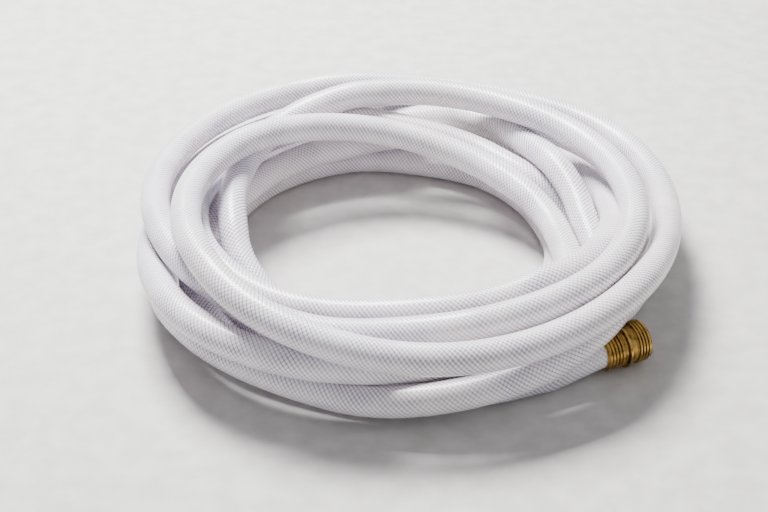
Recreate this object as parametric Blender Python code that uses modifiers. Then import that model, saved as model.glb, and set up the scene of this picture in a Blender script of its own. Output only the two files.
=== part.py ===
"""Drinking water hose: a loose coil of white hose with a brass coupling on each end."""
import math

import bmesh
import bpy
from mathutils import Matrix, Vector

# Hose
HOSE_DIAMETER = 0.0200
HOSE_BORE = 0.0159

# Coil of the hose, a turned ring on the Z axis with a bore that is off its centre
COIL_RADIUS = 0.1960
COIL_HEIGHT = 0.0800
COIL_OVERHANG = 0.0317
OVERHANG_CLEARANCE = 0.0036
COIL_BORE_RADIUS = 0.1040
COIL_BORE_CENTRE = (0.0007, -0.0192)
COIL_SEGMENTS = 40
TURN_PITCH = 0.0200
TURN_RELIEF = 0.0050
TURN_ARC_STEPS = 4

# What both couplings share: the tail inside the hose and the sleeve crimped round it
CLEARANCE = 0.0003
TAIL_LENGTH = 0.0160
WATERWAY_DIAMETER = 0.0132
FERRULE_LENGTH = 0.0150
FERRULE_WALL = 0.0012
FERRULE_RIBS = 5
FERRULE_RIB_HEIGHT = 0.0006
FITTING_SEGMENTS = 24

# Hose thread, 3/4 inch with 11.5 turns to the inch
THREAD_DIAMETER = 0.0270
THREAD_DEPTH = 0.0012
THREAD_PITCH = 0.0022

# Male coupling
COLLAR_DIAMETER = 0.0284
COLLAR_LENGTH = 0.0035
MALE_NECK_LENGTH = 0.0015
MALE_THREAD_TURNS = 5
MOUTH_COUNTERSINK = 0.0020

# Female coupling
SHOULDER_DIAMETER = 0.0236
SHOULDER_LENGTH = 0.0028
STEM_NECK_DIAMETER = 0.0184
STEM_FLANGE_DIAMETER = 0.0240
STEM_FLANGE_LENGTH = 0.0025
SWIVEL_CLEARANCE = 0.0005
NUT_DIAMETER = 0.0304
NUT_LIP_LENGTH = 0.0028
NUT_THREAD_TURNS = 4
NUT_EDGE = 0.0012
WASHER_THICKNESS = 0.0030
WASHER_BORE = 0.0150

# Where the couplings lie: the heading out of each mouth, and how far the hose's end is along
# that heading from the point nearest to the middle of the coil, or of its bore
MALE_HEADING = math.radians(27.0)
MALE_ALONG = 0.0614
FEMALE_HEADING = math.radians(178.0)
FEMALE_ALONG = -0.0103
NUT_TO_BORE = 0.0028

# Route from the hose's male end to the coil: how far back, and how far down
MALE_ROUTE = ((0.0, 0.0), (0.019, 0.0), (0.026, 0.0006), (0.033, 0.0018), (0.040, 0.0031),
              (0.047, 0.0040), (0.055, 0.0042))

BRASS = (0.42, 0.31, 0.14, 1.0)
HOSE_WHITE = (0.80, 0.79, 0.82, 1.0)
WASHER_BLACK = (0.03, 0.03, 0.03, 1.0)


def clear_scene():
    for item in list(bpy.data.objects):
        bpy.data.objects.remove(item, do_unlink=True)


def make_collection(name):
    collection = bpy.data.collections.new(name)
    bpy.context.scene.collection.children.link(collection)
    return collection


def make_material(name, color, roughness, metallic):
    material = bpy.data.materials.new(name)
    material.use_nodes = True
    shader = material.node_tree.nodes["Principled BSDF"]
    shader.inputs["Base Color"].default_value = color
    shader.inputs["Roughness"].default_value = roughness
    shader.inputs["Metallic"].default_value = metallic
    return material


def turned(name, outline, segments, material, collection, place=Matrix()):
    """Turn a closed outline of (radius, height) points about the local Z axis."""
    mesh = bpy.data.meshes.new(name)
    shape = bmesh.new()
    corners = [shape.verts.new((radius, 0.0, height)) for radius, height in outline]
    for first, second in zip(corners, corners[1:] + corners[:1]):
        shape.edges.new((first, second))
    shape.to_mesh(mesh)
    shape.free()
    piece = bpy.data.objects.new(name, mesh)
    collection.objects.link(piece)
    piece.matrix_world = place
    mesh.materials.append(material)
    screw = piece.modifiers.new("Turn", "SCREW")
    screw.axis = "Z"
    screw.angle = math.tau
    screw.steps = segments
    screw.render_steps = segments
    screw.use_merge_vertices = True
    screw.merge_threshold = 0.00001
    screw.use_smooth_shade = True
    return piece


def cylinder_cutter(name, radius, length, segments, collection, place):
    """A cylinder whose lower end is at the place given, along its local Z axis."""
    mesh = bpy.data.meshes.new(name)
    shape = bmesh.new()
    bmesh.ops.create_cone(shape, cap_ends=True, segments=segments, radius1=radius,
                          radius2=radius, depth=length,
                          matrix=Matrix.Translation((0.0, 0.0, length / 2)))
    shape.to_mesh(mesh)
    shape.free()
    cutter = bpy.data.objects.new(name, mesh)
    collection.objects.link(cutter)
    cutter.matrix_world = place
    cutter.hide_render = True
    cutter.display_type = "WIRE"
    return cutter


def cut(piece, cutter):
    boolean = piece.modifiers.new(cutter.name, "BOOLEAN")
    boolean.operation = "DIFFERENCE"
    boolean.solver = "EXACT"
    boolean.object = cutter


def fitting_place(middle, leftward, along, heading, height):
    """Local Z runs out of the mouth, and the origin is on the end of the hose."""
    outward = Vector((math.cos(heading), math.sin(heading), 0.0))
    upward = Vector((0.0, 0.0, 1.0))
    across = upward.cross(outward)
    place = Matrix((across, upward, outward)).transposed().to_4x4()
    place.translation = Vector((*middle, height)) + across * leftward + outward * along
    return place


def turns_row(start, end, height, upward):
    """Bumps of the turns that show on one end of the coil, between two radii."""
    count = max(1, round(abs(end - start) / TURN_PITCH))
    width = (end - start) / count
    side = 1.0 if upward else -1.0
    points = []
    for turn in range(count):
        for step in range(TURN_ARC_STEPS):
            share = step / TURN_ARC_STEPS
            rise = math.sin(math.pi * share)
            points.append((start + (turn + share) * width,
                           height - side * TURN_RELIEF * (1.0 - rise)))
    points.append((end, height - side * TURN_RELIEF))
    return points


def coil_foot_radius():
    return COIL_RADIUS - COIL_OVERHANG


def coil_outline():
    inside = COIL_BORE_RADIUS - math.hypot(*COIL_BORE_CENTRE) - HOSE_DIAMETER / 2
    outline = turns_row(inside, COIL_RADIUS, COIL_HEIGHT, True)
    foot = coil_foot_radius()
    foot_height = COLLAR_DIAMETER + OVERHANG_CLEARANCE
    outline.append((COIL_RADIUS, foot_height))
    outline.append((foot, foot_height))
    outline += turns_row(foot, inside, 0.0, False)
    return outline


def make_coil(material, collection, cutters):
    coil = turned("hose_coil", coil_outline(), COIL_SEGMENTS, material, collection)
    place = Matrix.Translation((*COIL_BORE_CENTRE, -TURN_RELIEF))
    length = COIL_HEIGHT + 2 * TURN_RELIEF
    bore = cylinder_cutter("coil_bore", COIL_BORE_RADIUS, length, COIL_SEGMENTS, cutters, place)
    cut(coil, bore)
    return coil


def make_stretch(name, place, points, material, collection, cutters):
    """A stretch of hose that ends in a coupling, with its bore where the tail goes in."""
    curve = bpy.data.curves.new(name + "_route", "CURVE")
    curve.dimensions = "3D"
    curve.bevel_depth = HOSE_DIAMETER / 2
    curve.bevel_resolution = 3
    curve.use_fill_caps = True
    spline = curve.splines.new("POLY")
    spline.points.add(len(points) - 1)
    for spot, point in zip(spline.points, points):
        spot.co = (*point, 1.0)
    route = bpy.data.objects.new(name + "_route", curve)
    collection.objects.link(route)
    bpy.context.view_layer.update()
    graph = bpy.context.evaluated_depsgraph_get()
    mesh = bpy.data.meshes.new_from_object(route.evaluated_get(graph))
    shape = bmesh.new()
    shape.from_mesh(mesh)
    bmesh.ops.remove_doubles(shape, verts=shape.verts, dist=0.00001)
    bmesh.ops.recalc_face_normals(shape, faces=shape.faces)
    shape.to_mesh(mesh)
    shape.free()
    bpy.data.objects.remove(route, do_unlink=True)
    mesh.name = name
    mesh.materials.clear()
    mesh.materials.append(material)
    piece = bpy.data.objects.new(name, mesh)
    collection.objects.link(piece)
    depth = TAIL_LENGTH + CLEARANCE
    seat = place @ Matrix.Translation((0.0, 0.0, -depth))
    bore = cylinder_cutter(name + "_bore", HOSE_BORE / 2, depth + CLEARANCE, FITTING_SEGMENTS,
                           cutters, seat)
    cut(piece, bore)
    return piece


def placed_route(place, route):
    """Points of a route that is given from a coupling's place."""
    outward = place.to_3x3() @ Vector((0.0, 0.0, 1.0))
    return [place.translation - outward * back - Vector((0.0, 0.0, down)) for back, down in route]


def female_distance():
    """From the middle of the coil's bore out to the female coupling's axis."""
    return COIL_BORE_RADIUS - NUT_TO_BORE - NUT_DIAMETER / 2


def female_route():
    """Straight back from the coupling until the hose's side comes to the coil's bore."""
    wall = COIL_BORE_RADIUS * math.cos(math.pi / COIL_SEGMENTS)
    reach = wall - HOSE_DIAMETER / 2 - CLEARANCE
    back = math.sqrt(reach ** 2 - female_distance() ** 2) + FEMALE_ALONG
    return (0.0, 0.0), (back, 0.0)


def make_ferrule(name, place, material, collection):
    inner = HOSE_DIAMETER / 2 + CLEARANCE
    outer = inner + FERRULE_WALL
    front = -CLEARANCE
    back = front - FERRULE_LENGTH
    outline = [(inner, front), (outer, front)]
    pitch = FERRULE_LENGTH / FERRULE_RIBS
    for rib in range(FERRULE_RIBS):
        crest = front - (rib + 0.5) * pitch
        outline.append((outer, crest + 0.30 * pitch))
        outline.append((outer + FERRULE_RIB_HEIGHT, crest + 0.12 * pitch))
        outline.append((outer + FERRULE_RIB_HEIGHT, crest - 0.12 * pitch))
        outline.append((outer, crest - 0.30 * pitch))
    outline += [(outer, back), (inner, back)]
    return turned(name, outline, FITTING_SEGMENTS, material, collection, place)


def ridges(start, count, crest, root):
    """Thread ridges as rings, from the height given and down by one pitch each."""
    points = []
    for ridge in range(count):
        height = start - ridge * THREAD_PITCH
        points.append((root, height))
        points.append((crest, height - 0.35 * THREAD_PITCH))
        points.append((crest, height - 0.60 * THREAD_PITCH))
    points.append((root, start - count * THREAD_PITCH))
    return points


def male_length():
    return COLLAR_LENGTH + MALE_NECK_LENGTH + (MALE_THREAD_TURNS + 0.5) * THREAD_PITCH


def make_male_coupling(place, material, collection):
    tail = HOSE_BORE / 2 - CLEARANCE
    waterway = WATERWAY_DIAMETER / 2
    crest = THREAD_DIAMETER / 2
    root = crest - THREAD_DEPTH
    collar = COLLAR_DIAMETER / 2
    mouth = male_length()
    bevel = COLLAR_LENGTH / 6
    outline = [(waterway + MOUTH_COUNTERSINK, mouth), (root, mouth)]
    outline += ridges(mouth - THREAD_PITCH / 2, MALE_THREAD_TURNS, crest, root)
    outline += [(root, COLLAR_LENGTH), (collar - bevel, COLLAR_LENGTH),
                (collar, COLLAR_LENGTH - bevel), (collar, bevel), (collar - bevel, 0.0),
                (tail, 0.0), (tail, -TAIL_LENGTH), (waterway, -TAIL_LENGTH),
                (waterway, mouth - MOUTH_COUNTERSINK)]
    return turned("male_coupling", outline, FITTING_SEGMENTS, material, collection, place)


def flange_back():
    return SHOULDER_LENGTH + 2 * SWIVEL_CLEARANCE + NUT_LIP_LENGTH


def flange_front():
    return flange_back() + STEM_FLANGE_LENGTH


def make_female_stem(place, material, collection):
    tail = HOSE_BORE / 2 - CLEARANCE
    waterway = WATERWAY_DIAMETER / 2
    neck = STEM_NECK_DIAMETER / 2
    flange = STEM_FLANGE_DIAMETER / 2
    shoulder = SHOULDER_DIAMETER / 2
    outline = [(waterway, flange_front()), (flange, flange_front()), (flange, flange_back()),
               (neck, flange_back()), (neck, SHOULDER_LENGTH), (shoulder, SHOULDER_LENGTH),
               (shoulder, 0.0), (tail, 0.0), (tail, -TAIL_LENGTH), (waterway, -TAIL_LENGTH)]
    return turned("female_stem", outline, FITTING_SEGMENTS, material, collection, place)


def nut_mouth():
    seat = flange_front() + CLEARANCE + WASHER_THICKNESS + CLEARANCE
    return seat + (NUT_THREAD_TURNS + 0.5) * THREAD_PITCH + NUT_EDGE


def make_swivel_nut(place, material, collection):
    lip = STEM_NECK_DIAMETER / 2 + SWIVEL_CLEARANCE
    root = THREAD_DIAMETER / 2 + CLEARANCE
    crest = root - THREAD_DEPTH
    outer = NUT_DIAMETER / 2
    mouth = nut_mouth()
    back = SHOULDER_LENGTH + SWIVEL_CLEARANCE
    first = mouth - NUT_EDGE
    outline = [(root, mouth), (outer - NUT_EDGE, mouth), (outer, first),
               (outer, back + NUT_EDGE), (outer - NUT_EDGE, back), (lip, back),
               (lip, back + NUT_LIP_LENGTH), (crest, back + NUT_LIP_LENGTH)]
    thread = ridges(first, NUT_THREAD_TURNS, crest, root)
    outline += reversed(thread)
    return turned("swivel_nut", outline, FITTING_SEGMENTS, material, collection, place)


def make_washer(place, material, collection):
    outer = THREAD_DIAMETER / 2 - THREAD_DEPTH
    inner = WASHER_BORE / 2
    back = flange_front() + CLEARANCE
    front = back + WASHER_THICKNESS
    outline = [(inner, front), (outer, front), (outer, back), (inner, back)]
    return turned("washer", outline, FITTING_SEGMENTS, material, collection, place)


def main():
    clear_scene()
    parts = make_collection("drinking_water_hose")
    cutters = make_collection("cutters")
    vinyl = make_material("hose_vinyl", HOSE_WHITE, 0.35, 0.0)
    brass = make_material("aged_brass", BRASS, 0.40, 1.0)
    rubber = make_material("washer_rubber", WASHER_BLACK, 0.70, 0.0)

    make_coil(vinyl, parts, cutters)

    beside_foot = coil_foot_radius() + HOSE_DIAMETER / 2 + CLEARANCE
    male = fitting_place((0.0, 0.0), -beside_foot, MALE_ALONG, MALE_HEADING, COLLAR_DIAMETER / 2)
    make_male_coupling(male, brass, parts)
    make_ferrule("male_ferrule", male, brass, parts)
    male_route = placed_route(male, MALE_ROUTE)
    make_stretch("hose_male_end", male, male_route, vinyl, parts, cutters)

    female = fitting_place(COIL_BORE_CENTRE, female_distance(), FEMALE_ALONG, FEMALE_HEADING,
                           NUT_DIAMETER / 2)
    make_female_stem(female, brass, parts)
    make_ferrule("female_ferrule", female, brass, parts)
    make_swivel_nut(female, brass, parts)
    make_washer(female, rubber, parts)
    hidden_route = placed_route(female, female_route())
    make_stretch("hose_female_end", female, hidden_route, vinyl, parts, cutters)


main()
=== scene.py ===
import math

import bmesh
import bpy
import numpy as np
from mathutils import Matrix, Vector


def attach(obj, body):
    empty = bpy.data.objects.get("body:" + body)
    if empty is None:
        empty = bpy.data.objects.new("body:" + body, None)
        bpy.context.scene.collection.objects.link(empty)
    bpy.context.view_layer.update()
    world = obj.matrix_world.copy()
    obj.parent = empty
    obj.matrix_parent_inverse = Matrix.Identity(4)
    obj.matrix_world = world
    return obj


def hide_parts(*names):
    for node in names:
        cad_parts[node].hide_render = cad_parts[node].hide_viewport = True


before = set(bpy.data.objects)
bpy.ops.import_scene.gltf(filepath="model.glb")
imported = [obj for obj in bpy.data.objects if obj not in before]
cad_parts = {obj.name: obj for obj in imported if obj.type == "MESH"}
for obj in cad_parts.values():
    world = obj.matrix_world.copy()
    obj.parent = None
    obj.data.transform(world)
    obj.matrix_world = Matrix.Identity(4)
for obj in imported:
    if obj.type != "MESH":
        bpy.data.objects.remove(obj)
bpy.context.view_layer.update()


camera = {
    "stand": (-0.0150, -0.8535, 0.5825),
    "tiltDown": 34.49,
    "lens": 67.97,
}

hose = {
    "diameter": 0.0200,
    "aroundSteps": 28,
    "ringEvery": 0.0042,
    "readPlane": 0.0300,      # height of the plane that the distances are read on
    "middle": (-0.0030, -0.0155),
    "angleStep": 3.0,
    "firstAngle": -99.0,
    "lastAngle": 2850.0,
    "ferruleReach": 0.0165,
    "ferruleRadius": 0.0125,
    "couplingReach": 0.0010,  # how far back over the hose a coupling's full width counts
    "endClear": 0.0020,       # a point of the route this near the hose's end is left out
}

settling = {
    "gap": 0.0008,            # room between turns that lie on each other
    "tightest": 0.085,        # bend radius from which the hose is straightened
    "sinkSteps": 580,
    "restSteps": 120,
    "near": 12,               # points to each side of the same angle that a turn may touch
    "mostTurns": 8,
    "push": 0.6,              # share of an overlap that one push takes away
    "sightPull": 0.15,
    "heightPull": 0.02,
    "sink": 0.00006,          # fall in one step
    "easing": 3.0,            # width of the smoothing, in points of the route
    "readEasing": 2.4,
    "sinkEase": 0.5,
    "restEase": 0.2,
    "straightenBy": 0.4,
}

male = {
    "hoseEnd": (0.13398, -0.12770),
    "heading": 27.0,
    "height": 0.0142,
    "radius": 0.0142,
    "pinnedFrom": 2821.0,
    "blend": 36.0,           # degrees over which the hose comes off the coupling's axis
    "level": 0.0190,         # length of hose that stays at the coupling's height
    "slope": 0.0300,
    "end": 0.0210,
}

female = {
    "hoseEnd": (0.0080, -0.1055),
    "heading": 178.0,
    "height": 0.0152,
    "radius": 0.0156,
    "pinnedTo": -70.0,
    "blend": 24.0,
}

# One row for each turn. Angle round the coil: distance from its middle as the eye sees it
# on the reading plane, and height of the hose's middle, both in hose widths.
turns = [
    {-100: (5.48, .76), -70: (5.65, .76), -50: (6.1, .6), -30: (6.13, .5), -15: (6.07, .5),
     0: (5.93, .5), 20: (5.35, .5), 30: (5.1, .5), 45: (4.95, .5), 60: (4.75, .5), 75: (4.69, .5),
     90: (4.75, .5), 105: (4.9, .5), 120: (5.08, .5), 135: (5.3, .5), 150: (5.65, .5),
     165: (5.95, .5), 180: (6.4, .5), 195: (6.93, .5), 210: (7.34, .5), 225: (7.48, .5),
     240: (7.6, .65), 255: (7.65, .8), 270: (7.65, .85), 300: (7.7, .8), 330: (7.8, 1.0)},
    {0: (6.55, 1.5), 15: (6.6, 1.8), 30: (6.78, 2.1), 45: (7.27, 2.2), 60: (7.83, 2.1),
     75: (8.2, 1.9), 90: (8.2, 1.5), 120: (7.2, .7), 150: (7.3, .5), 180: (7.9, .6), 195: (8.1, .9),
     210: (8.35, 1.2), 225: (8.42, 1.35), 250: (8.4, 1.3), 265: (8.62, 1.1), 280: (8.65, 1.1),
     295: (8.7, 1.3), 310: (8.6, 1.6), 321: (8.55, 1.8), 331: (8.55, 1.6), 343: (8.6, 1.1)},
    {0: (8.6, .7), 15: (8.9, .6), 27: (9.1, .6), 42: (8.75, .5), 60: (8.6, .5), 90: (8.25, .5),
     120: (8.05, .5), 150: (8.25, .5), 165: (8.25, .8), 180: (8.45, 1.2), 195: (8.55, 1.7),
     210: (8.52, 2.1), 225: (8.35, 2.2), 240: (8.1, 2.1), 255: (7.85, 1.8), 270: (7.55, 1.5),
     285: (7.4, 1.5), 315: (6.7, 1.5), 346: (6.0, 1.6)},
    {0: (5.62, 1.6), 15: (5.37, 1.7), 30: (5.25, 1.9), 45: (5.28, 2.0), 60: (5.45, 2.2),
     75: (5.8, 2.4), 90: (6.5, 2.6), 105: (7.2, 2.8), 120: (7.9, 3.0), 135: (8.22, 3.1),
     150: (8.2, 3.2), 165: (7.9, 3.3), 180: (7.48, 3.3), 195: (7.07, 3.3), 210: (6.85, 3.2),
     225: (6.8, 3.1), 240: (6.85, 2.9), 255: (7.05, 2.6), 270: (7.27, 2.4), 285: (7.5, 2.4),
     300: (7.7, 2.4), 315: (7.95, 2.5), 330: (8.28, 2.6), 345: (8.72, 2.4)},
    {0: (9.2, 2.0), 15: (9.7, 1.7), 30: (10.2, 1.7), 45: (10.4, 1.6), 60: (10.1, 1.6),
     80: (9.9, 1.6), 100: (9.95, 1.6), 120: (10.27, 1.6), 135: (10.15, 1.7), 150: (9.7, 1.8),
     165: (9.15, 1.9), 180: (8.5, 2.1), 195: (7.8, 2.2), 210: (7.1, 2.3), 232: (6.9, 2.1),
     255: (6.8, 1.7), 270: (6.49, 1.5), 285: (6.33, 1.8), 300: (6.3, 2.0), 315: (6.5, 2.2),
     330: (6.95, 2.4), 345: (7.45, 2.5)},
    {0: (7.93, 2.7), 15: (8.39, 2.8), 30: (8.85, 2.8), 45: (9.2, 2.8), 60: (9.45, 2.9),
     75: (9.7, 2.9), 90: (9.7, 2.9), 105: (9.3, 2.8), 120: (8.7, 2.5), 135: (8.0, 2.4),
     150: (7.2, 2.4), 165: (6.65, 2.4), 180: (6.35, 2.3), 195: (6.38, 1.75), 210: (6.42, 1.35),
     225: (6.3, .8), 240: (6.7, .5), 255: (6.98, .5), 270: (7.07, .5), 300: (7.15, .5),
     315: (7.2, .5), 330: (7.25, .5)},
    {0: (6.9, .5), 20: (6.3, .8), 30: (6.0, 1.2), 45: (5.76, 1.5), 60: (6.17, 1.6), 75: (6.45, 1.8),
     90: (6.97, 2.0), 105: (7.73, 1.9), 125: (7.8, 1.8), 150: (7.5, 1.9), 180: (7.1, 2.3),
     195: (6.85, 2.3), 210: (6.42, 2.1), 225: (6.13, 1.9), 240: (5.7, 1.8), 255: (5.28, 1.8),
     270: (5.06, 1.9), 285: (5.18, 1.9), 300: (5.55, 1.8), 315: (5.95, 1.8), 330: (6.42, 1.9),
     345: (6.9, 1.9)},
    {0: (7.3, 1.7), 15: (7.4, 1.4), 30: (7.5, 1.1), 45: (7.5, .9), 65: (7.0, .9), 90: (6.55, 1.3),
     105: (6.45, 1.4), 120: (6.4, 1.4), 135: (6.3, 1.4), 150: (6.3, 1.45), 160: (6.35, 1.5),
     173: (6.6, 1.5), 185: (7.0, 1.35), 195: (7.4, 1.15), 210: (8.05, .85), 223: (8.45, .55),
     234: (8.7, .5), 244: (8.8, .5), 253: (8.9, .5), 262: (8.92, .5), 272: (8.93, .5),
     286: (8.97, .5), 297: (9.05, .5), 330: (9.6, .7)},
]


def makeCamera():
    data = bpy.data.cameras.new("photoCamera")
    data.sensor_fit = "HORIZONTAL"
    data.sensor_width = 36.0
    data.lens = camera["lens"]
    data.clip_start = 0.01
    eye = bpy.data.objects.new("photoCamera", data)
    bpy.context.scene.collection.objects.link(eye)
    eye.location = camera["stand"]
    eye.rotation_euler = (math.radians(90.0 - camera["tiltDown"]), 0.0, 0.0)
    bpy.context.scene.camera = eye


def cubic(share, span, first, firstSlope, last, lastSlope):
    return ((2 * share**3 - 3 * share**2 + 1) * first + (share**3 - 2 * share**2 + share) * span * firstSlope
            + (3 * share**2 - 2 * share**3) * last + (share**3 - share**2) * span * lastSlope)


def throughControls(spots, values, wanted):
    slopes = np.gradient(values, spots)
    left = np.clip(np.searchsorted(spots, wanted) - 1, 0, len(spots) - 2)
    span = spots[left + 1] - spots[left]
    share = (wanted - spots[left]) / span
    return cubic(share, span, values[left], slopes[left], values[left + 1], slopes[left + 1])


def eyePoint():
    eye = np.array(camera["stand"])
    eye[:2] -= hose["middle"]
    return eye


def onSightLine(seen, height):
    # Where the sight line through a point of the reading plane crosses another height
    eye = eyePoint()
    share = (eye[2] - height) / (eye[2] - hose["readPlane"])
    return eye[:2] + (seen - eye[:2]) * share[:, None]


def onReadingPlane(points):
    eye = eyePoint()
    share = (eye[2] - hose["readPlane"]) / (eye[2] - points[:, 2])
    return eye[:2] + (points[:, :2] - eye[:2]) * share[:, None]


def alongFitting(angle, end):
    # Where the ray at this angle crosses a coupling's axis, and how far out of the hose that is
    ray = np.array([math.cos(angle), math.sin(angle)])
    heading = math.radians(end["heading"])
    outward = np.array([math.cos(heading), math.sin(heading)])
    base = np.array(end["hoseEnd"]) - hose["middle"]
    reach, out = np.linalg.solve(np.array([ray, -outward]).T, base)
    return ray * reach, out


def evened(points, sigma):
    # Gaussian smoothing along the route, ends held
    kernel = np.exp(-0.5 * (np.arange(-6, 7) / sigma) ** 2)
    kernel /= kernel.sum()
    padded = np.concatenate([np.repeat(points[:1], 6, 0), points, np.repeat(points[-1:], 6, 0)])
    return np.stack([np.convolve(padded[:, axis], kernel, "valid") for axis in range(points.shape[1])], 1)


def smoothStep(share):
    return share * share * (3 - 2 * share)


def roomAround(ahead, end):
    # Half the width at a place along a coupling's axis: the coupling, its ferrule or the hose
    if ahead > -hose["couplingReach"]:
        return end["radius"]
    return hose["ferruleRadius"] if ahead > -hose["ferruleReach"] else hose["diameter"] / 2


def readRoute():
    controls = np.array([(angle + 360 * turn, away, height) for turn, row in enumerate(turns)
                         for angle, (away, height) in sorted(row.items())])
    angles = np.arange(hose["firstAngle"], hose["lastAngle"] + 1e-6, hose["angleStep"])
    away = throughControls(controls[:, 0], controls[:, 1], angles) * hose["diameter"]
    height = throughControls(controls[:, 0], controls[:, 2], angles) * hose["diameter"]
    rays = np.radians(angles)
    seen = np.stack([away * np.cos(rays), away * np.sin(rays)], 1)
    route = np.column_stack([onSightLine(seen, height), height])
    radius = np.full(len(angles), hose["diameter"] / 2)
    out = np.full(len(angles), -1.0)
    pinned = np.zeros(len(angles), bool)
    kept = np.ones(len(angles), bool)
    for spot, angle in enumerate(angles):
        if angle < female["pinnedTo"] + female["blend"]:
            line, ahead = alongFitting(rays[spot], female)
            share = smoothStep(max(0.0, (angle - female["pinnedTo"]) / female["blend"]))
            route[spot, :2] = line * (1 - share) + route[spot, :2] * share
            route[spot, 2] = female["height"] * (1 - share) + route[spot, 2] * share
            if angle <= female["pinnedTo"]:
                pinned[spot] = True
                out[spot] = ahead
                radius[spot] = roomAround(ahead, female)
        if angle > male["pinnedFrom"] - male["blend"]:
            line, ahead = alongFitting(rays[spot], male)
            share = smoothStep(max(0.0, (male["pinnedFrom"] - angle) / male["blend"]))
            route[spot, :2] = line * (1 - share) + route[spot, :2] * share
            if angle >= male["pinnedFrom"]:
                drop = min(1.0, max(0.0, (-ahead - male["level"]) / male["slope"]))
                route[spot, 2] = male["height"] - (male["height"] - hose["diameter"] / 2) * drop
                pinned[spot] = True
                out[spot] = ahead
                radius[spot] = roomAround(ahead, male)
                kept[spot] = ahead < male["end"]
    route = np.where(pinned[:, None], route, evened(route, settling["readEasing"]))
    return route[kept], radius[kept], pinned[kept], out[kept]


def offFloor(route, radius, free):
    route[:, 2] = np.where(free[:, 0] > 0, np.maximum(route[:, 2], radius), route[:, 2])


def pushApart(route, radius, free, offsets):
    # Points of different turns that come too near move apart, and none sinks into the floor
    for offset in offsets:
        apart = route[offset:] - route[:-offset]
        distance = np.sqrt((apart * apart).sum(1))
        need = radius[offset:] + radius[:-offset] + settling["gap"]
        touching = distance < need
        if not touching.any():
            continue
        push = np.where(touching, (need - distance) / np.maximum(distance, 1e-6), 0)[:, None] * apart
        later = free[offset:]
        earlier = free[:-offset]
        both = np.maximum(later + earlier, 1e-9)
        route[offset:] += push * later / both * settling["push"]
        route[:-offset] -= push * earlier / both * settling["push"]
    offFloor(route, radius, free)


def straighten(route, free):
    # Where the hose bends too tightly, its points move towards a straighter line
    for reach in (1, 2, 4):
        inward = (route[2 * reach:] + route[:-2 * reach]) / 2 - route[reach:-reach]
        across = np.linalg.norm(route[2 * reach:] - route[:-2 * reach], axis=1)
        allowed = across ** 2 / (8 * settling["tightest"])
        sag = np.maximum(np.linalg.norm(inward, axis=1), 1e-9)
        share = np.maximum(0, 1 - allowed / sag)[:, None]
        route[reach:-reach] += settling["straightenBy"] * share * inward * free[reach:-reach]


def settleStep(route, aim, ease, radius, free, offsets):
    pushApart(route, radius, free, offsets)
    pushApart(route, radius, free, offsets)
    route += (evened(route - aim, settling["easing"]) + aim - route) * ease * free
    straighten(route, free)
    offFloor(route, radius, free)


def settle(target, radius, pinned):
    # Each turn keeps to its own sight line while it sinks, and turns that touch push apart
    seen = onReadingPlane(target)
    route = target.copy()
    perTurn = int(round(360 / hose["angleStep"]))
    near = settling["near"]
    offsets = [perTurn * turn + step for turn in range(1, settling["mostTurns"] + 1)
               for step in range(-near, near + 1)]
    offsets = [offset for offset in offsets if offset < len(route)]
    free = (~pinned)[:, None].astype(float)
    for step in range(settling["sinkSteps"]):
        sight = np.column_stack([onSightLine(seen, route[:, 2]), target[:, 2]])
        route[:, :2] += settling["sightPull"] * (sight - route)[:, :2] * free
        route[:, 2] += (settling["heightPull"] * (sight - route)[:, 2] - settling["sink"]) * free[:, 0]
        settleStep(route, sight, settling["sinkEase"], radius, free, offsets)
    for step in range(settling["restSteps"]):
        settleStep(route, target, settling["restEase"], radius, free, offsets)
    return route


def evenSteps(points, spacing):
    # Points at equal steps along a smooth line through the route
    before = np.concatenate([2 * points[:1] - points[1:2], points[:-1]])
    after = np.concatenate([points[1:], 2 * points[-1:] - points[-2:-1]])
    slopes = (after - before) / 2
    fine = [cubic(share, 1.0, points[:-1], slopes[:-1], points[1:], slopes[1:])
            for share in np.linspace(0, 1, 8, endpoint=False)]
    fine = np.concatenate([np.stack(fine, 1).reshape(-1, 3), points[-1:]])
    along = np.concatenate([[0.0], np.cumsum(np.linalg.norm(np.diff(fine, axis=0), axis=1))])
    count = int(round(along[-1] / spacing)) + 1
    wanted = np.linspace(0.0, along[-1], count)
    return np.stack([np.interp(wanted, along, fine[:, axis]) for axis in range(3)], 1)


def hoseRoute():
    target, radius, pinned, out = readRoute()
    settled = settle(target, radius, pinned)
    inside = out < -hose["endClear"]
    first = np.array([*female["hoseEnd"], female["height"]])
    last = np.array([*male["hoseEnd"], male["height"]])
    middle = settled[inside] + np.array([*hose["middle"], 0.0])
    points = np.concatenate([first[None], middle, last[None]])
    return evenSteps(points, hose["ringEvery"])


def linked(piece):
    bpy.context.scene.collection.objects.link(piece)
    return piece


def addNode(tree, kind, **settings):
    node = tree.nodes.new(kind)
    for name, value in settings.items():
        setattr(node, name, value)
    return node


def startTree(name, sockets):
    tree = bpy.data.node_groups.new(name, "GeometryNodeTree")
    tree.interface.new_socket("Geometry", in_out="INPUT", socket_type="NodeSocketGeometry")
    tree.interface.new_socket("Geometry", in_out="OUTPUT", socket_type="NodeSocketGeometry")
    for label, kind in sockets:
        tree.interface.new_socket(label, in_out="INPUT", socket_type=kind)
    return tree, addNode(tree, "NodeGroupInput"), addNode(tree, "NodeGroupOutput")


def joinNodes(tree, *pairs):
    for source, target in pairs:
        tree.links.new(source, target)


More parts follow.
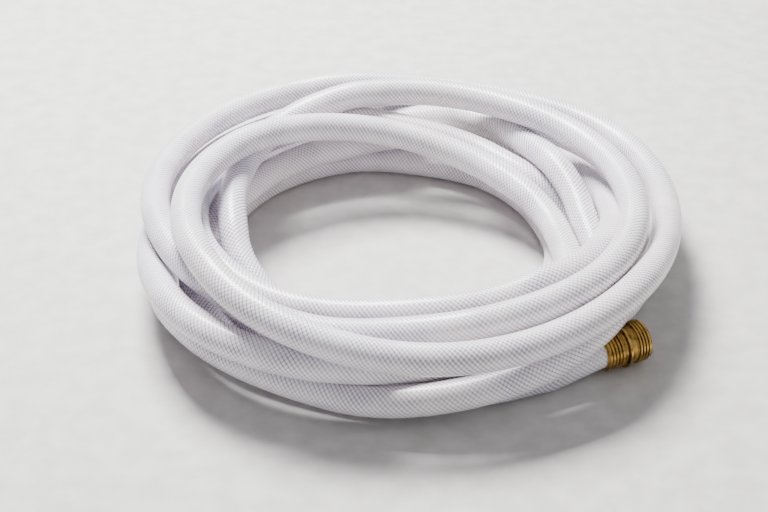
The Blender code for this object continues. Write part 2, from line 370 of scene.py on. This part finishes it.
def baked(name, source, tree, values):
    # Run a node tree on a source object and keep its result as a plain mesh
    modifier = source.modifiers.new(tree.name, "NODES")
    modifier.node_group = tree
    for item in tree.interface.items_tree:
        if item.in_out == "INPUT" and item.name in values:
            modifier[item.identifier] = values[item.name]
    bpy.context.view_layer.update()
    graph = bpy.context.evaluated_depsgraph_get()
    mesh = bpy.data.meshes.new_from_object(source.evaluated_get(graph))
    source.modifiers.remove(modifier)
    bpy.data.objects.remove(source, do_unlink=True)
    mesh.name = name
    return linked(bpy.data.objects.new(name, mesh))


def lineObject(name, points):
    mesh = bpy.data.meshes.new(name)
    mesh.from_pydata([tuple(point) for point in points], [(i, i + 1) for i in range(len(points) - 1)], [])
    return linked(bpy.data.objects.new(name, mesh))


def toLinear(hexColour):
    # sRGB hex string to the linear values that a socket takes
    channels = [int(hexColour[i:i + 2], 16) / 255 for i in (1, 3, 5)]
    return tuple(c / 12.92 if c <= 0.04045 else ((c + 0.055) / 1.055) ** 2.4 for c in channels) + (1.0,)


def startMaterial(name):
    material = bpy.data.materials.new(name)
    material.use_nodes = True
    tree = material.node_tree
    return material, tree, tree.nodes["Principled BSDF"]


def bumped(tree, shader, height, strength, distance):
    bump = addNode(tree, "ShaderNodeBump")
    bump.inputs["Strength"].default_value = strength
    bump.inputs["Distance"].default_value = distance
    joinNodes(tree, (height, bump.inputs["Height"]), (bump.outputs["Normal"], shader.inputs["Normal"]))


def mathNode(tree, operation, first, second=None):
    node = addNode(tree, "ShaderNodeMath", operation=operation)
    for socket, value in zip(node.inputs, (first, second)):
        if value is None:
            continue
        if isinstance(value, (int, float)):
            socket.default_value = value
        else:
            tree.links.new(value, socket)
    return node.outputs[0]


def mixColours(tree, share, first, second):
    node = addNode(tree, "ShaderNodeMix", data_type="RGBA")
    for socket, value in ((node.inputs[0], share), (node.inputs[6], first), (node.inputs[7], second)):
        if isinstance(value, (int, float, tuple)):
            socket.default_value = value
        else:
            tree.links.new(value, socket)
    return node.outputs[2]


def noiseAt(tree, vector, scale, detail=2.0, rough=0.5):
    node = addNode(tree, "ShaderNodeTexNoise")
    node.inputs["Scale"].default_value = scale
    node.inputs["Detail"].default_value = detail
    node.inputs["Roughness"].default_value = rough
    tree.links.new(vector, node.inputs["Vector"])
    return node.outputs["Fac"]


def ramped(tree, value, low, high, outLow=0.0, outHigh=1.0):
    node = addNode(tree, "ShaderNodeMapRange", interpolation_type="SMOOTHSTEP")
    tree.links.new(value, node.inputs["Value"])
    for name, number in (("From Min", low), ("From Max", high), ("To Min", outLow), ("To Max", outHigh)):
        node.inputs[name].default_value = number
    return node.outputs["Result"]


# Soft PVC extruded over a polyester braid: a moulded gloss, a little milky, with the braid
# showing through as thin lines. They are spaced as in the photo, 3.7 mm round the hose.
vinyl = {
    "body": "#FAF2FA",
    "shade": "#E6DDEC",
    "tan": "#F0E9E1",
    "thread": "#565876",
    "threadsAround": 17,
    "threadAdvance": 0.0520,      # length of hose in which one thread goes once round
    "strongLine": 1.0,
    "faintLine": 0.42,
    "broadPerMetre": 9.0,         # yellowed places about 110 mm across
    "patchesPerMetre": 38.0,      # greyer places about 26 mm across
    "grainPerMetre": 900.0,       # skin of the vinyl, about 1 mm
}


def braidedVinyl():
    material, tree, shader = startMaterial("braidedVinyl")
    wrap = addNode(tree, "ShaderNodeAttribute", attribute_name="hoseWrap")
    parts = addNode(tree, "ShaderNodeSeparateXYZ")
    tree.links.new(wrap.outputs["Vector"], parts.inputs[0])
    around = mathNode(tree, "ARCTAN2", parts.outputs["Y"], parts.outputs["X"])
    twist = mathNode(tree, "MULTIPLY", parts.outputs["Z"], math.tau / vinyl["threadAdvance"])
    rightPhase = mathNode(tree, "MULTIPLY", mathNode(tree, "ADD", around, twist), vinyl["threadsAround"])
    leftPhase = mathNode(tree, "MULTIPLY", mathNode(tree, "SUBTRACT", around, twist), vinyl["threadsAround"])
    rightWave = mathNode(tree, "SINE", rightPhase)
    leftWave = mathNode(tree, "SINE", leftPhase)
    # the threads of one slant show through more than those of the other, which they cross
    leftLine = mathNode(tree, "MULTIPLY", ramped(tree, leftWave, 0.35, 0.95),
                        ramped(tree, rightWave, -1.0, 0.6, 0.65, 1.0))
    rightLine = mathNode(tree, "MULTIPLY", ramped(tree, rightWave, 0.35, 0.95), vinyl["faintLine"])
    wear = addNode(tree, "ShaderNodeTexCoord").outputs["Object"]
    patches = noiseAt(tree, wear, vinyl["patchesPerMetre"], 3.0)
    strength = ramped(tree, patches, 0.3, 0.7, vinyl["strongLine"] * 0.6, vinyl["strongLine"])
    lines = mathNode(tree, "MULTIPLY", mathNode(tree, "MAXIMUM", rightLine, leftLine), strength)
    broad = noiseAt(tree, wear, vinyl["broadPerMetre"])
    body = mixColours(tree, ramped(tree, broad, 0.35, 0.7, 0.0, 0.6),
                      toLinear(vinyl["body"]), toLinear(vinyl["tan"]))
    body = mixColours(tree, ramped(tree, patches, 0.45, 0.75, 0.0, 0.5), body, toLinear(vinyl["shade"]))
    colour = mixColours(tree, lines, body, toLinear(vinyl["thread"]))
    tree.links.new(colour, shader.inputs["Base Color"])
    tree.links.new(ramped(tree, patches, 0.3, 0.7, 0.26, 0.38), shader.inputs["Roughness"])
    shader.inputs["Coat Weight"].default_value = 0.25
    shader.inputs["Coat Roughness"].default_value = 0.12
    shader.inputs["Subsurface Weight"].default_value = 0.06
    shader.inputs["Subsurface Radius"].default_value = (0.9, 0.8, 0.8)
    shader.inputs["Subsurface Scale"].default_value = 0.002
    # the vinyl swells a little between the threads
    swell = mathNode(tree, "ADD", mathNode(tree, "MULTIPLY", leftWave, -1.0),
                     mathNode(tree, "MULTIPLY", rightWave, -0.4))
    grain = noiseAt(tree, wear, vinyl["grainPerMetre"])
    rise = mathNode(tree, "ADD", swell, mathNode(tree, "MULTIPLY", grain, 0.5))
    bumped(tree, shader, rise, 0.35, 0.0002)
    return material


# Turned brass that has browned in use, with a painted highlight on its ridges
# and painted shade, mixed with dark patina, in its hollows
brass = {
    # rubbed brass, and also the colour of the painted highlight on the ridges
    "brightAndHighlight": "#D2AE62",
    "aged": "#7C5A22",
    # painted shade in the hollows, mixed with dark patina
    "shadeAndPatina": "#2C2110",
    "stain": "#6A5543",
    "patinaPerMetre": 160.0,      # places about 6 mm across
    "specksPerMetre": 1400.0,     # under 1 mm
}


def agedBrass():
    material, tree, shader = startMaterial("agedBrass")
    place = addNode(tree, "ShaderNodeTexCoord").outputs["Object"]
    geometry = addNode(tree, "ShaderNodeNewGeometry")
    # painted highlight: the ridges, where the light catches the metal, are made lighter in colour
    paintedRidgeHighlight = ramped(tree, geometry.outputs["Pointiness"], 0.505, 0.55)
    # painted shade, with dark patina: the hollows, where shade falls, are made darker in colour
    hollowShadeAndPatina = ramped(tree, geometry.outputs["Pointiness"], 0.46, 0.505, 1.0, 0.0)
    patina = noiseAt(tree, place, brass["patinaPerMetre"], 4.0, 0.6)
    specks = noiseAt(tree, place, brass["specksPerMetre"])
    colour = mixColours(tree, ramped(tree, patina, 0.30, 0.85),
                        toLinear(brass["aged"]), toLinear(brass["brightAndHighlight"]))
    colour = mixColours(tree, ramped(tree, patina, 0.62, 0.78, 0.0, 0.4), colour, toLinear(brass["stain"]))
    # the hollows take the painted shade and patina
    colour = mixColours(tree, mathNode(tree, "MULTIPLY", hollowShadeAndPatina, 0.85), colour, toLinear(brass["shadeAndPatina"]))
    # the ridges take the painted highlight
    colour = mixColours(tree, mathNode(tree, "MULTIPLY", paintedRidgeHighlight, 0.7), colour, toLinear(brass["brightAndHighlight"]))
    tree.links.new(colour, shader.inputs["Base Color"])
    shader.inputs["Metallic"].default_value = 1.0
    tree.links.new(ramped(tree, patina, 0.3, 0.7, 0.20, 0.42), shader.inputs["Roughness"])
    bumped(tree, shader, specks, 0.15, 0.0001)
    return material


# Moulded black rubber: dull, with a little dust
rubber = {
    "black": "#1C1C1D",
    "dusty": "#37363A",
    "dustPerMetre": 500.0,        # about 2 mm
}


def washerRubber():
    material, tree, shader = startMaterial("washerRubber")
    place = addNode(tree, "ShaderNodeTexCoord").outputs["Object"]
    dust = noiseAt(tree, place, rubber["dustPerMetre"], 3.0)
    colour = mixColours(tree, ramped(tree, dust, 0.4, 0.7),
                        toLinear(rubber["black"]), toLinear(rubber["dusty"]))
    tree.links.new(colour, shader.inputs["Base Color"])
    tree.links.new(ramped(tree, dust, 0.3, 0.7, 0.55, 0.8), shader.inputs["Roughness"])
    bumped(tree, shader, dust, 0.2, 0.0001)
    return material


def hoseTubeTree():
    tree, given, result = startTree("hoseTube", [
        ("Diameter", "NodeSocketFloat"), ("Around", "NodeSocketInt"), ("Finish", "NodeSocketMaterial")])
    curve = addNode(tree, "GeometryNodeMeshToCurve")
    spline = addNode(tree, "GeometryNodeSplineParameter")
    alongStore = addNode(tree, "GeometryNodeCaptureAttribute", domain="POINT")
    alongStore.capture_items.new("FLOAT", "along")
    circle = addNode(tree, "GeometryNodeCurvePrimitiveCircle", mode="RADIUS")
    half = addNode(tree, "ShaderNodeMath", operation="MULTIPLY")
    half.inputs[1].default_value = 0.5
    where = addNode(tree, "GeometryNodeInputPosition")
    aroundStore = addNode(tree, "GeometryNodeCaptureAttribute", domain="POINT")
    aroundStore.capture_items.new("VECTOR", "round")
    sweep = addNode(tree, "GeometryNodeCurveToMesh")
    sweep.inputs["Fill Caps"].default_value = True
    split = addNode(tree, "ShaderNodeSeparateXYZ")
    pack = addNode(tree, "ShaderNodeCombineXYZ")
    store = addNode(tree, "GeometryNodeStoreNamedAttribute", data_type="FLOAT_VECTOR", domain="POINT")
    store.inputs["Name"].default_value = "hoseWrap"
    shade = addNode(tree, "GeometryNodeSetShadeSmooth")
    realize = addNode(tree, "GeometryNodeRealizeInstances")
    finish = addNode(tree, "GeometryNodeSetMaterial")
    joinNodes(
        tree,
        (given.outputs["Geometry"], curve.inputs["Mesh"]),
        (curve.outputs["Curve"], alongStore.inputs["Geometry"]),
        (spline.outputs["Length"], alongStore.inputs["along"]),
        (given.outputs["Diameter"], half.inputs[0]),
        (half.outputs[0], circle.inputs["Radius"]),
        (given.outputs["Around"], circle.inputs["Resolution"]),
        (circle.outputs["Curve"], aroundStore.inputs["Geometry"]),
        (where.outputs["Position"], aroundStore.inputs["round"]),
        (alongStore.outputs["Geometry"], sweep.inputs["Curve"]),
        (aroundStore.outputs["Geometry"], sweep.inputs["Profile Curve"]),
        (aroundStore.outputs["round"], split.inputs[0]),
        (split.outputs["X"], pack.inputs["X"]),
        (split.outputs["Y"], pack.inputs["Y"]),
        (alongStore.outputs["along"], pack.inputs["Z"]),
        (sweep.outputs["Mesh"], store.inputs["Geometry"]),
        (pack.outputs[0], store.inputs["Value"]),
        (store.outputs["Geometry"], shade.inputs["Geometry"]),
        (shade.outputs["Geometry"], realize.inputs["Geometry"]),
        (realize.outputs["Geometry"], finish.inputs["Geometry"]),
        (given.outputs["Finish"], finish.inputs["Material"]),
        (finish.outputs["Geometry"], result.inputs["Geometry"]),
    )
    return tree


def makeHose(route, finish):
    tree = hoseTubeTree()
    line = lineObject("hoseLine", route)
    return baked("hose", line, tree, {
        "Diameter": hose["diameter"], "Around": hose["aroundSteps"], "Finish": finish})


fitting = {
    "gap": 0.0003,
    "around": 96,
    "waterway": 0.0132,
    "ease": 0.0003,
    "easeSteps": 3,
    "threadDiameter": 0.0270,
    "threadDepth": 0.0012,
    "threadPitch": 0.0022,
    "ridgeThickness": 0.30,       # in pitches
    "tailLength": 0.0160,
    "tailDiameter": 0.0159,
}


def fittingPlace(end):
    # Local Z runs from the end of the hose towards the mouth
    heading = math.radians(end["heading"])
    outward = Vector((math.cos(heading), math.sin(heading), 0.0))
    upward = Vector((0.0, 0.0, 1.0))
    place = Matrix((upward.cross(outward), upward, outward)).transposed().to_4x4()
    place.translation = (*end["hoseEnd"], end["height"])
    return place


def rounded(corners, size):
    # Closed outline with its corners eased
    steps = fitting["easeSteps"]
    points = []
    for spot, corner in enumerate(corners):
        here = Vector(corner)
        before = Vector(corners[spot - 1]) - here
        after = Vector(corners[(spot + 1) % len(corners)]) - here
        ease = min(size, before.length * 0.45, after.length * 0.45)
        start = here + before.normalized() * ease
        stop = here + after.normalized() * ease
        for step in range(steps + 1):
            share = step / steps
            points.append((1 - share) ** 2 * start + 2 * share * (1 - share) * here + share * share * stop)
    return points


def turned(name, corners, place, finish, ease=fitting["ease"]):
    outline = rounded(corners, ease)
    shape = bmesh.new()
    around = fitting["around"]
    rings = []
    for step in range(around):
        angle = math.tau * step / around
        rings.append([shape.verts.new(place @ Vector((p.x * math.cos(angle), p.x * math.sin(angle), p.y)))
                      for p in outline])
    for step in range(around):
        here = rings[step]
        there = rings[(step + 1) % around]
        for spot in range(len(outline)):
            after = (spot + 1) % len(outline)
            shape.faces.new((here[spot], there[spot], there[after], here[after]))
    bmesh.ops.recalc_face_normals(shape, faces=shape.faces)
    for face in shape.faces:
        face.smooth = True
    mesh = bpy.data.meshes.new(name)
    shape.to_mesh(mesh)
    shape.free()
    mesh.materials.append(finish)
    return linked(bpy.data.objects.new(name, mesh))


def threadTree():
    tree, given, result = startTree("hoseThread", [
        ("Turns", "NodeSocketFloat"), ("Pitch", "NodeSocketFloat"), ("Radius", "NodeSocketFloat"),
        ("Ridge", "NodeSocketFloat"), ("Finish", "NodeSocketMaterial")])
    helix = addNode(tree, "GeometryNodeCurveSpiral")
    helix.inputs["Resolution"].default_value = 64
    height = addNode(tree, "ShaderNodeMath", operation="MULTIPLY")
    profile = addNode(tree, "GeometryNodeCurvePrimitiveCircle", mode="RADIUS")
    profile.inputs["Resolution"].default_value = 10
    sweep = addNode(tree, "GeometryNodeCurveToMesh")
    sweep.inputs["Fill Caps"].default_value = True
    shade = addNode(tree, "GeometryNodeSetShadeSmooth")
    realize = addNode(tree, "GeometryNodeRealizeInstances")
    finish = addNode(tree, "GeometryNodeSetMaterial")
    joinNodes(
        tree,
        (given.outputs["Turns"], helix.inputs["Rotations"]),
        (given.outputs["Radius"], helix.inputs["Start Radius"]),
        (given.outputs["Radius"], helix.inputs["End Radius"]),
        (given.outputs["Turns"], height.inputs[0]),
        (given.outputs["Pitch"], height.inputs[1]),
        (height.outputs[0], helix.inputs["Height"]),
        (given.outputs["Ridge"], profile.inputs["Radius"]),
        (helix.outputs["Curve"], sweep.inputs["Curve"]),
        (profile.outputs["Curve"], sweep.inputs["Profile Curve"]),
        (sweep.outputs["Mesh"], shade.inputs["Geometry"]),
        (shade.outputs["Geometry"], realize.inputs["Geometry"]),
        (realize.outputs["Geometry"], finish.inputs["Geometry"]),
        (given.outputs["Finish"], finish.inputs["Material"]),
        (finish.outputs["Geometry"], result.inputs["Geometry"]),
    )
    return tree


def threaded(name, start, turnCount, radius, place, finish):
    # A helical ridge about the fitting's axis, from the height given
    holder = linked(bpy.data.objects.new("threadHolder", bpy.data.meshes.new("threadHolder")))
    piece = baked(name, holder, threadTree(), {
        "Turns": float(turnCount), "Pitch": fitting["threadPitch"], "Radius": radius,
        "Ridge": fitting["threadPitch"] * fitting["ridgeThickness"], "Finish": finish})
    piece.data.transform(place @ Matrix.Translation((0.0, 0.0, start)))
    return piece


def joined(name, pieces):
    shape = bmesh.new()
    for piece in pieces:
        shape.from_mesh(piece.data)
    mesh = bpy.data.meshes.new(name)
    shape.to_mesh(mesh)
    shape.free()
    mesh.materials.append(pieces[0].data.materials[0])
    for face in mesh.polygons:
        face.material_index = 0
    for piece in pieces:
        bpy.data.objects.remove(piece, do_unlink=True)
    return linked(bpy.data.objects.new(name, mesh))


ferrule = {
    "length": 0.0150,
    "wall": 0.0011,
    "flare": 0.0009,              # how much wider it is at the coupling
    "rim": 0.0012,
    "ribs": 5,
    "ribPitch": 0.0024,
    "ribHeight": 0.0013,
    "backRibShare": 0.7,          # height of the rib at the back, as a share of the full one
    "firstRib": 0.7,              # the rest of its places and half widths are in pitches
    "afterRibs": 0.4,
    "ribFoot": 0.44,
    "ribCrest": 0.22,
    "neck": 0.0002,
    "backBevel": 0.0003,
    "ease": 0.00025,
}


def makeFerrule(name, place, finish):
    inner = hose["diameter"] / 2 + fitting["gap"]
    outer = inner + ferrule["wall"]
    front = -fitting["gap"]
    back = front - ferrule["length"]
    pitch = ferrule["ribPitch"]
    foot = ferrule["ribFoot"] * pitch
    top = ferrule["ribCrest"] * pitch
    wide = outer + ferrule["flare"]
    ribbed = back + (ferrule["ribs"] + ferrule["afterRibs"]) * pitch
    least = ferrule["backRibShare"]
    corners = [(inner, front), (wide, front), (wide, front - ferrule["rim"]),
               (outer + ferrule["neck"], ribbed)]
    for rib in reversed(range(ferrule["ribs"])):
        crest = back + (rib + ferrule["firstRib"]) * pitch
        high = outer + ferrule["ribHeight"] * (least + (1 - least) * rib / ferrule["ribs"])
        corners += [(outer, crest + foot), (high, crest + top), (high, crest - top), (outer, crest - foot)]
    corners += [(outer - ferrule["backBevel"], back), (inner, back)]
    return turned(name, corners, place, finish, ferrule["ease"])


coupling = {
    "collarDiameter": 0.0284,
    "collarLength": 0.0017,
    "bandDiameter": 0.0254,
    "bandLength": 0.0043,
    "bandSlope": 0.0004,
    "threadTurns": 4,
    "threadStop": 0.45,           # distance of the thread's end from the mouth, in pitches
    "ridgeAbove": 0.0006,         # the ridge's middle lies this far above the thread's root
    "mouth": 0.0171,
    "mouthRise": 0.0004,
    "mouthBevel": 0.0006,
    "countersink": 0.0020,
}


def makeMaleCoupling(place, finish):
    tail = fitting["tailDiameter"] / 2 - fitting["gap"]
    tailEnd = -fitting["tailLength"]
    bore = fitting["waterway"] / 2
    root = fitting["threadDiameter"] / 2 - fitting["threadDepth"]
    collar = coupling["collarDiameter"] / 2
    collarEnd = coupling["collarLength"]
    band = coupling["bandDiameter"] / 2
    bandEnd = collarEnd + coupling["bandLength"]
    mouth = coupling["mouth"]
    sink = coupling["countersink"]
    corners = [(bore + sink, mouth), (root + coupling["mouthRise"], mouth),
               (root, mouth - coupling["mouthBevel"]), (root, bandEnd + coupling["bandSlope"]),
               (band, bandEnd), (band, collarEnd),
               (collar, collarEnd), (collar, 0.0), (tail, 0.0), (tail, tailEnd), (bore, tailEnd),
               (bore, mouth - sink)]
    body = turned("maleBody", corners, place, finish)
    start = mouth - (coupling["threadTurns"] + coupling["threadStop"]) * fitting["threadPitch"]
    ridge = threaded("maleRidge", start, coupling["threadTurns"], root + coupling["ridgeAbove"],
                     place, finish)
    return joined("maleCoupling", [body, ridge])


stem = {
    "shoulderDiameter": 0.0236,
    "shoulderLength": 0.0028,
    "neckDiameter": 0.0184,
    "flangeDiameter": 0.0240,
    "flangeLength": 0.0025,
}

nut = {
    "diameter": 0.0304,
    "lipLength": 0.0028,
    "clearance": 0.0005,
    "threadTurns": 4,
    "edge": 0.0012,
    "gripRibs": 30,
    "gripDepth": 0.0006,
    "gripSink": 0.0003,
    "gripShort": 2.2,             # the grip's ribs are shorter than the nut by this many edges
    "ridgeStart": 0.0030,
    "ridgeTurns": 3.3,
    "ridgeSink": 0.0002,
    "washerThickness": 0.0030,
    "washerBore": 0.0150,
    "washerEase": 0.0005,
}


def flangeFront():
    return stem["shoulderLength"] + 2 * nut["clearance"] + nut["lipLength"] + stem["flangeLength"]


def makeFemaleStem(place, finish):
    tail = fitting["tailDiameter"] / 2 - fitting["gap"]
    bore = fitting["waterway"] / 2
    front = flangeFront()
    back = front - stem["flangeLength"]
    corners = [(bore, front), (stem["flangeDiameter"] / 2, front), (stem["flangeDiameter"] / 2, back),
               (stem["neckDiameter"] / 2, back), (stem["neckDiameter"] / 2, stem["shoulderLength"]),
               (stem["shoulderDiameter"] / 2, stem["shoulderLength"]), (stem["shoulderDiameter"] / 2, 0.0),
               (tail, 0.0), (tail, -fitting["tailLength"]), (bore, -fitting["tailLength"])]
    return turned("femaleStem", corners, place, finish)


def nutMouth():
    seat = flangeFront() + fitting["gap"] + nut["washerThickness"] + fitting["gap"]
    return seat + (nut["threadTurns"] + 0.5) * fitting["threadPitch"] + nut["edge"]


def gripTree():
    tree, given, result = startTree("gripRibs", [
        ("Count", "NodeSocketInt"), ("Radius", "NodeSocketFloat"), ("Length", "NodeSocketFloat"),
        ("Thickness", "NodeSocketFloat"), ("Finish", "NodeSocketMaterial")])
    ring = addNode(tree, "GeometryNodeMeshCircle")
    rib = addNode(tree, "GeometryNodeMeshCylinder")
    rib.inputs["Vertices"].default_value = 12
    spread = addNode(tree, "GeometryNodeInstanceOnPoints")
    shade = addNode(tree, "GeometryNodeSetShadeSmooth")
    realize = addNode(tree, "GeometryNodeRealizeInstances")
    finish = addNode(tree, "GeometryNodeSetMaterial")
    joinNodes(
        tree,
        (given.outputs["Count"], ring.inputs["Vertices"]),
        (given.outputs["Radius"], ring.inputs["Radius"]),
        (given.outputs["Thickness"], rib.inputs["Radius"]),
        (given.outputs["Length"], rib.inputs["Depth"]),
        (ring.outputs["Mesh"], spread.inputs["Points"]),
        (rib.outputs["Mesh"], spread.inputs["Instance"]),
        (spread.outputs["Instances"], realize.inputs["Geometry"]),
        (realize.outputs["Geometry"], shade.inputs["Geometry"]),
        (shade.outputs["Geometry"], finish.inputs["Geometry"]),
        (given.outputs["Finish"], finish.inputs["Material"]),
        (finish.outputs["Geometry"], result.inputs["Geometry"]),
    )
    return tree


def makeSwivelNut(place, finish):
    lip = stem["neckDiameter"] / 2 + nut["clearance"]
    root = fitting["threadDiameter"] / 2 + fitting["gap"]
    outer = nut["diameter"] / 2 - nut["gripDepth"]
    mouth = nutMouth()
    back = stem["shoulderLength"] + nut["clearance"]
    edge = nut["edge"]
    seat = back + nut["lipLength"]
    corners = [(root, mouth), (outer, mouth), (outer, back + edge), (outer - edge, back), (lip, back),
               (lip, seat), (root, seat)]
    body = turned("nutBody", corners, place, finish)
    ridge = threaded("nutRidge", seat + nut["washerThickness"] + nut["ridgeStart"], nut["ridgeTurns"],
                     root - nut["ridgeSink"], place, finish)
    length = mouth - back - nut["gripShort"] * edge
    holder = linked(bpy.data.objects.new("gripHolder", bpy.data.meshes.new("gripHolder")))
    grip = baked("nutGrip", holder, gripTree(), {
        "Count": nut["gripRibs"], "Radius": outer - nut["gripSink"], "Length": length,
        "Thickness": nut["gripDepth"] + nut["gripSink"], "Finish": finish})
    grip.data.transform(place @ Matrix.Translation((0.0, 0.0, (mouth + back) / 2)))
    return joined("swivelNut", [body, ridge, grip])


def makeWasher(place, finish):
    outer = fitting["threadDiameter"] / 2 - fitting["threadDepth"]
    back = flangeFront() + fitting["gap"]
    front = back + nut["washerThickness"]
    inner = nut["washerBore"] / 2
    corners = [(inner, front), (outer, front), (outer, back), (inner, back)]
    return turned("sealWasher", corners, place, finish, nut["washerEase"])


studio = {
    "floor": "#C6C3C0",
    "floorLight": "#D4D1CE",
    "floorPerMetre": 60.0,   # patches about 17 mm across
    "air": "#F2F4FA",
    "keyPower": 108.0,
    "keySize": 0.6,
    "keySpot": (-0.35, 0.70, 1.30),
    "fillPower": 4.0,
    "fillSize": 1.6,
    "fillSpot": (0.9, -0.9, 1.1),
    "world": 0.40,
    "reach": 6.0,
    "below": 0.0004,         # the floor lies a little lower than the part's underside
}


def makeStudio():
    material, tree, shader = startMaterial("studioFloor")
    place = addNode(tree, "ShaderNodeTexCoord").outputs["Object"]
    grain = noiseAt(tree, place, studio["floorPerMetre"], 3.0)
    colour = mixColours(tree, ramped(tree, grain, 0.3, 0.7),
                        toLinear(studio["floor"]), toLinear(studio["floorLight"]))
    tree.links.new(colour, shader.inputs["Base Color"])
    shader.inputs["Roughness"].default_value = 0.7
    mesh = bpy.data.meshes.new("studioFloor")
    reach = studio["reach"]
    low = -studio["below"]
    mesh.from_pydata([(-reach, -reach, low), (reach, -reach, low), (reach, reach, low), (-reach, reach, low)],
                     [], [(0, 1, 2, 3)])
    mesh.materials.append(material)
    floor = linked(bpy.data.objects.new("studioFloor", mesh))
    for name in ("key", "fill"):
        data = bpy.data.lights.new(name + "Light", "AREA")
        data.energy = studio[name + "Power"]
        data.size = studio[name + "Size"]
        lamp = linked(bpy.data.objects.new(name + "Light", data))
        lamp.location = studio[name + "Spot"]
        lamp.rotation_euler = (-lamp.location).to_track_quat("-Z", "Y").to_euler()
    world = bpy.data.worlds.new("studioAir")
    world.use_nodes = True
    air = world.node_tree.nodes["Background"]
    air.inputs["Color"].default_value = toLinear(studio["air"])
    air.inputs["Strength"].default_value = studio["world"]
    bpy.context.scene.world = world


makeCamera()
route = hoseRoute()

vinylFinish = braidedVinyl()
brassFinish = agedBrass()
rubberFinish = washerRubber()

hosePiece = makeHose(route, vinylFinish)
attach(hosePiece, "hose")
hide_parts("hose_coil", "hose_male_end", "hose_female_end")
print("hose made", len(hosePiece.data.polygons), "faces")

malePlace = fittingPlace(male)
femalePlace = fittingPlace(female)
dressing = [
    (makeMaleCoupling(malePlace, brassFinish), "male_coupling", "hose", "aged_brass"),
    (makeFerrule("maleFerrule", malePlace, brassFinish), "male_ferrule", "hose", "aged_brass"),
    (makeFemaleStem(femalePlace, brassFinish), "female_stem", "hose", "aged_brass"),
    (makeFerrule("femaleFerrule", femalePlace, brassFinish), "female_ferrule", "hose", "aged_brass"),
    (makeSwivelNut(femalePlace, brassFinish), "swivel_nut", "swivel", "aged_brass"),
    (makeWasher(femalePlace, rubberFinish), "washer", "swivel", "washer_rubber"),
]
for piece, node, body, finishSlot in dressing:
    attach(piece, body)
    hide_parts(node)
print("couplings made", [piece.name for piece, node, body, finishSlot in dressing])

makeStudio()
print("studio made")
